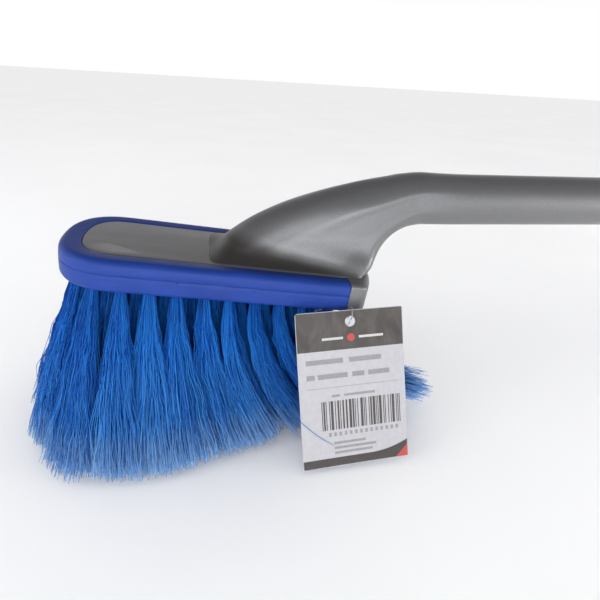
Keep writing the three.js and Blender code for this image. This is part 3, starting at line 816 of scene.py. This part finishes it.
def fibre_mesh(name, paths, shade, radii, material):
    """One mesh of thin three-sided tubes, one along each path, with a radius for each of its rings."""
    count, rings, _ = paths.shape
    tangent = np.gradient(paths, axis=1)
    tangent /= np.linalg.norm(tangent, axis=2, keepdims=True)
    side = np.cross(tangent, np.array([0.31, 0.95, 0.05]))
    side /= np.linalg.norm(side, axis=2, keepdims=True)
    other = np.cross(tangent, side)
    k = FIBRE_SIDES
    turn = 2 * math.pi * np.arange(k) / k
    offset = side[:, :, None, :] * np.cos(turn)[:, None] + other[:, :, None, :] * np.sin(turn)[:, None]
    vertices = level_point((paths[:, :, None, :] + offset * radii[:, None, None]).reshape(-1, 3))
    base = (np.arange(count) * rings * k)[:, None, None]
    ring = (np.arange(rings - 1) * k)[:, None]
    a = base + ring + np.arange(k)
    b = base + ring + (np.arange(k) + 1) % k
    quads = np.stack([a, a + k, b + k, b], axis=-1).reshape(-1, 4)
    first = base.reshape(-1, 1) + np.arange(k)
    last = first[:, ::-1] + (rings - 1) * k
    caps = np.concatenate([first, last])
    loops = np.concatenate([quads.ravel(), caps.ravel()])
    starts = np.concatenate([np.arange(len(quads)) * 4, len(quads) * 4 + np.arange(len(caps)) * k])
    mesh = bpy.data.meshes.new(name)
    mesh.vertices.add(len(vertices))
    mesh.vertices.foreach_set("co", vertices.astype(np.float32).ravel())
    mesh.loops.add(len(loops))
    mesh.loops.foreach_set("vertex_index", loops.astype(np.int32))
    mesh.polygons.add(len(starts))
    mesh.polygons.foreach_set("loop_start", starts.astype(np.int32))
    mesh.update(calc_edges=True)
    mesh.validate()
    along = np.tile(np.repeat(np.linspace(0, 1, rings), k), count)
    across = np.repeat(shade, rings * k)
    uv = mesh.uv_layers.new(name="OFBake")
    uv.data.foreach_set("uv", np.column_stack([across, along])[loops].astype(np.float32).ravel())
    mesh.materials.append(material)
    mesh.shade_smooth()
    return scene_object(name, mesh)


def tuft_piece(index, x, y, material):
    rng = np.random.default_rng(1000 + index)
    paths, shade = fibre_paths(x, y, rng, FIBRES_PER_TUFT)
    radii = np.interp(np.linspace(0, 1, FIBRE_RINGS), *FIBRE_RADII) * 1
    return fibre_mesh("tuft_fibres_%02d" % index, paths, shade, radii, material)


# Tag

TAG_TURN = np.array(TAG_TILT.to_matrix())


def tag_point(across, down, front):
    """A point on the card in metres: across from the left edge, down from the top edge, front of its middle."""
    across, down, front = (np.asarray(v, float) for v in (across, down, front))
    u = across / TAG_WIDTH - 0.5
    v = down / TAG_HEIGHT
    warp = 1.1 * (u * u - 0.1) * np.clip(v - 0.1, 0, 1) + 0.9 * np.clip(v - 0.35, 0, 1) ** 2
    local = np.stack([across - TAG_WIDTH / 2, -front - warp, TAG_HOLE_DROP - down], axis=-1)
    return level_point(local @ TAG_TURN.T + np.array(TAG_HOLE))


def punch(obj, radius):
    """Cut the round hole that the loop goes through."""
    across, down = (circle_points(40) * radius + (TAG_WIDTH / 2, TAG_HOLE_DROP)).T
    rings = [tag_point(across, down, np.full(len(across), front)) for front in (-2.0, 2.0)]
    boolean(obj, loft_object("tag_punch", rings, obj.data.materials[0]), "DIFFERENCE")
    set_shading(obj.data, 30)


def grid_faces(columns, rows):
    """Quads of a grid of points, and the directed edges of its rim."""
    width = columns + 1
    quads, edges = [], {}
    for j in range(rows):
        for i in range(columns):
            first = j * width + i
            quad = [first, first + 1, first + width + 1, first + width]
            quads.append(quad)
            edges.update(dict.fromkeys(zip(quad, quad[1:] + quad[:1])))
    return quads, [(p, q) for p, q in edges if (q, p) not in edges]


TAG_CORNER = 1.2


def card_piece(material):
    """The card: a fine grid on each face, with rounded corners and the punched hole."""
    columns, rows = 54, 76
    grid = np.meshgrid(np.linspace(0, TAG_WIDTH, columns + 1), np.linspace(0, TAG_HEIGHT, rows + 1))
    a, d = (v.ravel() for v in grid)
    inner_a = np.clip(a, TAG_CORNER, TAG_WIDTH - TAG_CORNER)
    inner_d = np.clip(d, TAG_CORNER, TAG_HEIGHT - TAG_CORNER)
    length = np.hypot(a - inner_a, d - inner_d)
    corner = (a != inner_a) & (d != inner_d) & (length > TAG_CORNER)
    pull = np.where(corner, TAG_CORNER / np.maximum(length, 1e-6), 1.0)
    a, d = inner_a + (a - inner_a) * pull, inner_d + (d - inner_d) * pull
    n = len(a)
    half = TAG_THICKNESS / 2
    points = np.concatenate([tag_point(a, d, np.full(n, front)) for front in (half, -half)])
    quads, rim = grid_faces(columns, rows)
    faces = quads + [[i + n for i in q[::-1]] for q in quads] + [(q, p, p + n, q + n) for p, q in rim]
    card = outward(mesh_object("tag_card", points, faces, material))
    punch(card, TAG_HOLE_RADIUS)
    return card


# Print on the card, in millimetres across from its left edge and down from its top edge. An area is left, top,
# right, bottom. None of it is lettering.
INK = 0.035  # height of a print layer over the card
INK_SINK = 0.05  # and how far it reaches into it
PRINT_EDGE = 0.25
HEADER_END = 18.8
HEADER_HOLE_GAP = 0.12
HEADER_BARS = [(12.5, 12.6, 23, 13.8), (31, 12.6, 43.5, 13.8)]
RED_DOT = (27, 13.2, 1.9)  # across, down, radius
RED_CORNER = (47.5, TAG_HEIGHT - 6.2)  # where it starts on the bottom edge and on the right edge
GREY_BARS = [
    (4, 22.8, 22.5, 25.2), (25.5, 22.8, 42, 25.2), (4, 30, 8, 32.4), (9.5, 30, 24.5, 32.4), (26.8, 30, 33, 32.4),
    (35, 30, 46, 32.4), (3.8, 36.6, 50.5, 36.85), (16, 40.4, 20, 41.6), (22.2, 40.4, 38, 41.6),
    (16, 63.6, 32, 64.8), (16, 66, 37.5, 67.2), (16, 68.4, 35.5, 69.6),
]
MARKS = dict(start=13.5, end=48, pitch=2.65, width=1.35, top=58.9, bottom=60.8)
BARCODE = (10.5, 43.4, 50.5, 57.6)
BAR_WIDTHS = [0.42, 0.84, 1.26]


def foot_band_top(x):
    return 71.4 - 4.6 * max(0.0, (x - 33) / 21) ** 2.2


def print_mesh(name, shapes, material, layer=1):
    """Printed areas as thin closed slabs on the card. A shape is a convex outline in (across, down)."""
    slabs = []
    for outline in shapes:
        a, d = np.array(outline, float).T
        slabs.append([tag_point(a, d, np.full(len(a), TAG_THICKNESS / 2 + h)) for h in (-INK_SINK, INK * layer)])
    return outward(mesh_object(name, *loft_group(slabs), material))


def cells(left, top, right, bottom, size=4.0):
    """A rectangle cut into cells small enough to follow the card's bend."""
    nx = max(1, math.ceil((right - left) / size))
    ny = max(1, math.ceil((bottom - top) / size))
    xs = np.linspace(left, right, nx + 1)
    ys = np.linspace(top, bottom, ny + 1)
    return [[(xs[i], ys[j]), (xs[i + 1], ys[j]), (xs[i + 1], ys[j + 1]), (xs[i], ys[j + 1])]
            for i in range(nx) for j in range(ny)]


def sheet_mesh(name, top_of, bottom_of, rows, material):
    """A printed area between two curves across the whole card, as one thin closed skin."""
    columns = 54
    xs = np.linspace(PRINT_EDGE, TAG_WIDTH - PRINT_EDGE, columns + 1)
    shares = np.arange(rows + 1) / rows
    a, d = np.array([(x, top_of(x) * (1 - v) + bottom_of(x) * v) for v in shares for x in xs]).T
    n = len(a)
    points = np.concatenate([tag_point(a, d, np.full(n, TAG_THICKNESS / 2 + h)) for h in (-INK_SINK, INK)])
    quads, rim = grid_faces(columns, rows)
    faces = [[i + n for i in q] for q in quads] + [q[::-1] for q in quads]
    faces += [(p, q, q + n, p + n) for p, q in rim]
    return outward(mesh_object(name, points, faces, material))


def barcode_bars():
    """Random bars that encode nothing."""
    rng = np.random.default_rng(11)
    x, top, right, bottom = BARCODE
    bars = []
    while x < right:
        width = float(rng.choice(BAR_WIDTHS, p=[0.5, 0.32, 0.18]))
        bars += cells(x, top, x + width, bottom, 5)
        x += width + float(rng.choice(BAR_WIDTHS, p=[0.5, 0.3, 0.2]))
    return bars


def tag_pieces(mats):
    right, bottom = TAG_WIDTH - PRINT_EDGE, TAG_HEIGHT - PRINT_EDGE
    card = card_piece(mats["card"])
    header = sheet_mesh("tag_header", lambda x: PRINT_EDGE, lambda x: HEADER_END, 19, mats["ink_dark"])
    punch(header, TAG_HOLE_RADIUS + HEADER_HOLE_GAP)
    across, down, radius = RED_DOT
    dot = circle_points(20) * radius + (across, down)
    corner = [(RED_CORNER[0], bottom), (right, RED_CORNER[1]), (right, bottom)]
    marks = [(x, MARKS["top"], x + MARKS["width"], MARKS["bottom"])
             for x in np.arange(MARKS["start"], MARKS["end"], MARKS["pitch"])]
    return [
        card,
        header,
        sheet_mesh("tag_foot_band", foot_band_top, lambda x: bottom, 4, mats["ink_foot"]),
        print_mesh("tag_red_marks", [corner, dot], mats["ink_red"], 2),
        print_mesh("tag_header_bars", [c for area in HEADER_BARS for c in cells(*area)], mats["ink_pale"], 2),
        print_mesh("tag_grey_print", [c for area in GREY_BARS + marks for c in cells(*area)], mats["ink_grey"]),
        print_mesh("tag_barcode", barcode_bars(), mats["ink_black"]),
    ]


LOOP_ROUTE = [
    # from the tag's hole, in the level frame
    (0, 0, 0), (0.1, -2.1, 3.9), (0.3, 0.4, 7.3), (0.9, 6.2, 3.6), (2, 7.1, -0.8), (1.8, 11, -4.2),
    (0.6, 16.4, -5.2), (-4, 20.8, -4.8), (-9.8, 20.9, -4.2), (-13.4, 16.8, -3.9), (-11.3, 10.8, -4.1),
    (-5.6, 5.2, -4.4), (-0.8, 1.5, -3),
]


def cord_rings(path, radius, sides):
    """Rings round a closed path, carried along it without twisting."""
    tangents = np.roll(path, -1, 0) - np.roll(path, 1, 0)
    tangents /= np.linalg.norm(tangents, axis=1)[:, None]
    normal = np.cross(tangents[0], (0.2, 0.1, 1.0))
    normals = []
    for t in tangents:
        normal = normal - t * (normal @ t)
        normal = normal / np.linalg.norm(normal)
        normals.append(normal)
    back = normals[-1] - tangents[0] * (normals[-1] @ tangents[0])
    back /= np.linalg.norm(back)
    slip = math.atan2(np.cross(normals[0], back) @ tangents[0], normals[0] @ back)
    rings = []
    for i, (point, tangent, normal) in enumerate(zip(path, tangents, normals)):
        a = 2 * math.pi * np.arange(sides) / sides - slip * i / len(path)
        side = np.cross(tangent, normal)
        rings.append(point + radius * (np.cos(a)[:, None] * normal + np.sin(a)[:, None] * side))
    return rings


def loop_piece(material):
    path = round_curve(np.array(LOOP_ROUTE) + np.array(TAG_HOLE), 7, 0)
    rings = [level_point(r) for r in cord_rings(path, LOOP_RADIUS, 10)]
    return loft_object("nylon_loop", rings, material, 60, closed=True)


def stray_fibre(material):
    """A single fibre that has strayed out of the tufts and clings to the card."""
    t = np.linspace(0, 1, FIBRE_RINGS)
    across = -2.0 + 17.5 * t
    down = 49.5 + 15.5 * t + 1.2 * np.sin(3 * t)
    front = np.full(FIBRE_RINGS, TAG_THICKNESS / 2 + 0.3)
    path = (tag_point(across, down, front) / MM - np.array(ORIGIN))[None]
    return fibre_mesh("stray_fibre", path, np.array([0.5]), np.full(FIBRE_RINGS, 0.13), material)


# Handle end

def lathe_rings(profile, start_x):
    """Rings of (radius, distance along the tube) pairs round the tube's axis."""
    across, up = circle_points(64).T
    return [level_point(np.column_stack([np.full(64, start_x + x), radius * across, TUBE_HEIGHT + radius * up]))
            for radius, x in profile]


def upright_ring(outline, start_x, y):
    """An outline of points along the tube and above its axis, standing at y."""
    along, up = np.array(outline).T
    return level_point(np.column_stack([start_x + along, np.full(len(along), y), TUBE_HEIGHT + up]))


GRIP_RIBS = 26
GRIP_PLAIN_END = 6.0
GRIP_SWELL = 0.35  # how much fuller the grip is at its middle
GRIP_RIB = ((0.0, 0.75), (0.14, 0.72), (0.28, 0.25), (0.45, 0.02), (0.72, 0.02), (0.88, 0.3))  # share, depth


def grip_piece(material):
    """Sleeve with shallow rings, rolled lips at both ends, and a smooth bore over the tube."""
    inner = TUBE_RADIUS + 0.1
    outer = TUBE_RADIUS + 0.3 + GRIP_THICKNESS
    profile = [(inner, 0.3), (outer - 1.6, 0.0), (outer - 0.9, 0.5), (outer - 0.55, 1.6)]
    pitch = (GRIP_LENGTH - 2 * GRIP_PLAIN_END) / GRIP_RIBS
    for i in range(GRIP_RIBS):
        swell = GRIP_SWELL * math.sin(math.pi * (i + 0.5) / GRIP_RIBS)
        for share, depth in GRIP_RIB:
            profile.append((outer - 0.35 - depth + swell, GRIP_PLAIN_END + (i + share) * pitch))
    profile += [(outer - 0.9, GRIP_LENGTH - 6), (outer - 0.55, GRIP_LENGTH - 2.5),
                (outer - 0.9, GRIP_LENGTH - 0.6), (inner + 0.7, GRIP_LENGTH - 0.05), (inner, GRIP_LENGTH - 0.2)]
    return loft_object("grip", lathe_rings(profile, TUBE_END - GRIP_LENGTH), material, 32, closed=True)


PLUG_LENGTH = 15.8
COLLAR_LENGTH = 3.6
LUG_RADIUS = 11.9
LUG_EDGE = 1.6


def cap_piece(material):
    """Plug, collar, and the lug with its hanging hole."""
    plug = TUBE_RADIUS - TUBE_WALL - 0.3
    collar = TUBE_RADIUS + 1.35
    profile = [(0.4, -PLUG_LENGTH), (plug - 1, -PLUG_LENGTH), (plug, 1 - PLUG_LENGTH), (plug, 0.3),
               (collar - 0.5, 0.3), (collar, 0.8), (collar, COLLAR_LENGTH)]
    shoulder = np.radians(np.linspace(10, 90, 7))
    profile += [(collar - 2.6 + 2.6 * math.cos(a), COLLAR_LENGTH + 3.4 * math.sin(a)) for a in shoulder]
    profile += [(6.0, 7.8), (0.4, 8.0)]
    body = loft_object("end_cap_shell", lathe_rings(profile, TUBE_END), material)
    hole_x = CAP_LENGTH - 12
    half = CAP_THICKNESS / 2
    rings = []
    for angle in np.radians(np.linspace(-90, 90, 13)):
        rise = math.sin(angle)
        reach = LUG_RADIUS - LUG_EDGE * (1 - math.cos(angle))
        y = math.copysign(half - LUG_EDGE, rise) * (abs(rise) > 1e-6) + LUG_EDGE * rise
        nose = arc((hole_x, 0), reach, -86, 86, 24)
        outline = [(2, -reach), (hole_x, -reach), *nose, (hole_x, reach), (2, reach)]
        rings.append(upright_ring(outline, TUBE_END, y))
    boolean(body, loft_object("lug", rings, material), "UNION")
    hole = [(HANG_HOLE_RADIUS + wider, half + y) for wider, y in ((2.4, 1.2), (0.1, -1.1), (0, -1.5))]
    hole = [(radius, -y) for radius, y in hole] + hole[::-1]
    rings = [upright_ring(circle_points(48) * radius, TUBE_END + hole_x, y) for radius, y in hole]
    boolean(body, loft_object("hang_drill", rings, material), "DIFFERENCE")
    set_shading(body.data, 35)
    return body


# Stage

CAMERA_ANGLES = (-11.72, 26.54, 3.55)  # azimuth, elevation and roll in degrees
CAMERA_PLACE = (-64.0, -221.6, 88.7)
CAMERA_LENS = 26.94
HEAD_MIDDLE = (-50, 0, -20)
SOFTBOXES = [
    # name, place in metres, what it faces in millimetres, size in metres, watts, colour
    ("front_softbox", (-0.3, -1.3, 0.25), HEAD_MIDDLE, (1.4, 0.2), 6.5, (0.9, 0.95, 1.0)),
    ("heel_softbox", (1.0, -0.42, 0.12), (5, -30, -8), (0.3, 0.2), 3, (1, 1, 1)),
    ("toe_softbox", (-1.2, -0.4, 0.55), HEAD_MIDDLE, (0.6, 0.6), 3, (1, 1, 1)),
]
FLOOR_REACH = 12.0
FLOOR_LIGHT_HEIGHT = 7.0
FLOOR_LIGHT_SIZE = (80.0, 80.0)
FLOOR_LIGHT_WATTS = 13000
SKY_STOPS = ((0.0, 1.0), (0.12, 1.0), (0.3, 0.8), (0.6, 0.2), (1.0, 0.12))  # height, brightness


def add_camera():
    """The view of the reference: close to the head, from the toe's side, a little rolled, with a wide lens."""
    azimuth, elevation, roll = (math.radians(a) for a in CAMERA_ANGLES)
    back = Vector((math.sin(azimuth) * math.cos(elevation), -math.cos(azimuth) * math.cos(elevation),
                   math.sin(elevation)))
    right = Vector((0, 0, 1)).cross(back).normalized()
    up = back.cross(right)
    right, up = right * math.cos(roll) + up * math.sin(roll), up * math.cos(roll) - right * math.sin(roll)
    data = bpy.data.cameras.new("camera")
    data.sensor_width = 36.0
    data.lens = CAMERA_LENS
    data.clip_start = 0.01
    camera = scene_object("camera", data)
    turn = Matrix((right, up, back)).transposed().to_4x4()
    camera.matrix_world = Matrix.Translation(Vector(level_point(CAMERA_PLACE))) @ turn
    bpy.context.scene.camera = camera


def add_area_light(name, spot, target, size, power, colour=(1, 1, 1)):
    data = bpy.data.lights.new(name, "AREA")
    data.shape = "RECTANGLE"
    data.size, data.size_y = size
    data.energy = power
    data.color = colour
    light = scene_object(name, data)
    spot, target = Vector(spot), Vector(target)
    light.matrix_world = Matrix.Translation(spot) @ (spot - target).to_track_quat("Z", "Y").to_matrix().to_4x4()
    return light


def add_world():
    """A bright band round the horizon under a dark ceiling, so that upward faces read darker than the sides."""
    world = bpy.data.worlds.new("studio")
    bpy.context.scene.world = world
    world.use_nodes = True
    nodes, links = world.node_tree.nodes, world.node_tree.links
    coordinates = nodes.new("ShaderNodeTexCoord")
    split = nodes.new("ShaderNodeSeparateXYZ")
    ramp = nodes.new("ShaderNodeValToRGB")
    fill_ramp(ramp, [(height, (level, level, level * 1.02)) for height, level in SKY_STOPS])
    links.new(coordinates.outputs["Generated"], split.inputs[0])
    links.new(split.outputs["Z"], ramp.inputs["Fac"])
    links.new(ramp.outputs["Color"], nodes["Background"].inputs["Color"])
    nodes["Background"].inputs["Strength"].default_value = 1.0


def add_floor_light(floor):
    """A broad light over the floor alone, so that it reads as a bright sweep under the dark ceiling."""
    above = (0, 0, FLOOR_LIGHT_HEIGHT)
    light = add_area_light("floor_light", above, (0, 0, 0), FLOOR_LIGHT_SIZE, FLOOR_LIGHT_WATTS)
    lit = bpy.data.collections.new("lit_by_floor_light")
    lit.objects.link(floor)
    light.light_linking.receiver_collection = lit


def add_floor():
    r = FLOOR_REACH
    corners = [(-r, -r, 0), (r, -r, 0), (r, r, 0), (-r, r, 0)]
    floor = mesh_object("floor", corners, [(0, 1, 2, 3)], floor_finish())
    add_floor_light(floor)


def place(piece, body, slot, *nodes):
    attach(piece, body)
    if nodes:
        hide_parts(*nodes)


def build():
    silver = silver_plastic("silver_plastic")
    # The neck's own silver carries painted shade in the cove along its foot.
    place(neck_piece(silver_plastic("silver_plastic_neck", True)), "brush", "silver_plastic", "handle_and_block")
    place(block_piece(silver), "brush", "silver_plastic", "handle_and_block")
    place(bumper_piece(bumper_rubber()), "brush", "bumper_rubber", "bumper")
    place(grip_piece(grip_rubber()), "brush", "grip_rubber", "grip_sleeve")
    place(cap_piece(cap_plastic()), "brush", "cap_plastic", "end_cap")
    fibre = fibre_plastic()
    for i, (x, y) in enumerate(tuft_roots(), 1):
        place(tuft_piece(i, x, y, fibre), "brush", "fibre", "tuft_%02d" % i)
    mats = {
        "card": card_white(),
        "ink_dark": ink_dark(),
        "ink_foot": ink("ink_foot", (0.055, 0.046, 0.042), (0.085, 0.072, 0.066)),
        "ink_red": ink("ink_red", (0.55, 0.06, 0.045), (0.66, 0.11, 0.08)),
        "ink_pale": ink("ink_pale", (0.62, 0.6, 0.58), (0.74, 0.72, 0.7)),
        "ink_grey": ink("ink_grey", (0.3, 0.29, 0.3), (0.42, 0.41, 0.42)),
        "ink_black": ink("ink_black", (0.06, 0.05, 0.05), (0.13, 0.11, 0.1)),
    }
    for i, piece in enumerate(tag_pieces(mats)):
        place(piece, "tag", "card", *(["swing_tag"] if i == 0 else []))
    place(stray_fibre(fibre), "tag", "fibre")
    place(loop_piece(nylon()), "loop", "nylon", "tag_loop")


add_camera()
add_world()
add_floor()
for name, spot, target, size, power, colour in SOFTBOXES:
    add_area_light(name, spot, level_point(target), size, power, colour)
bpy.context.scene.view_settings.view_transform = "Standard"
build()
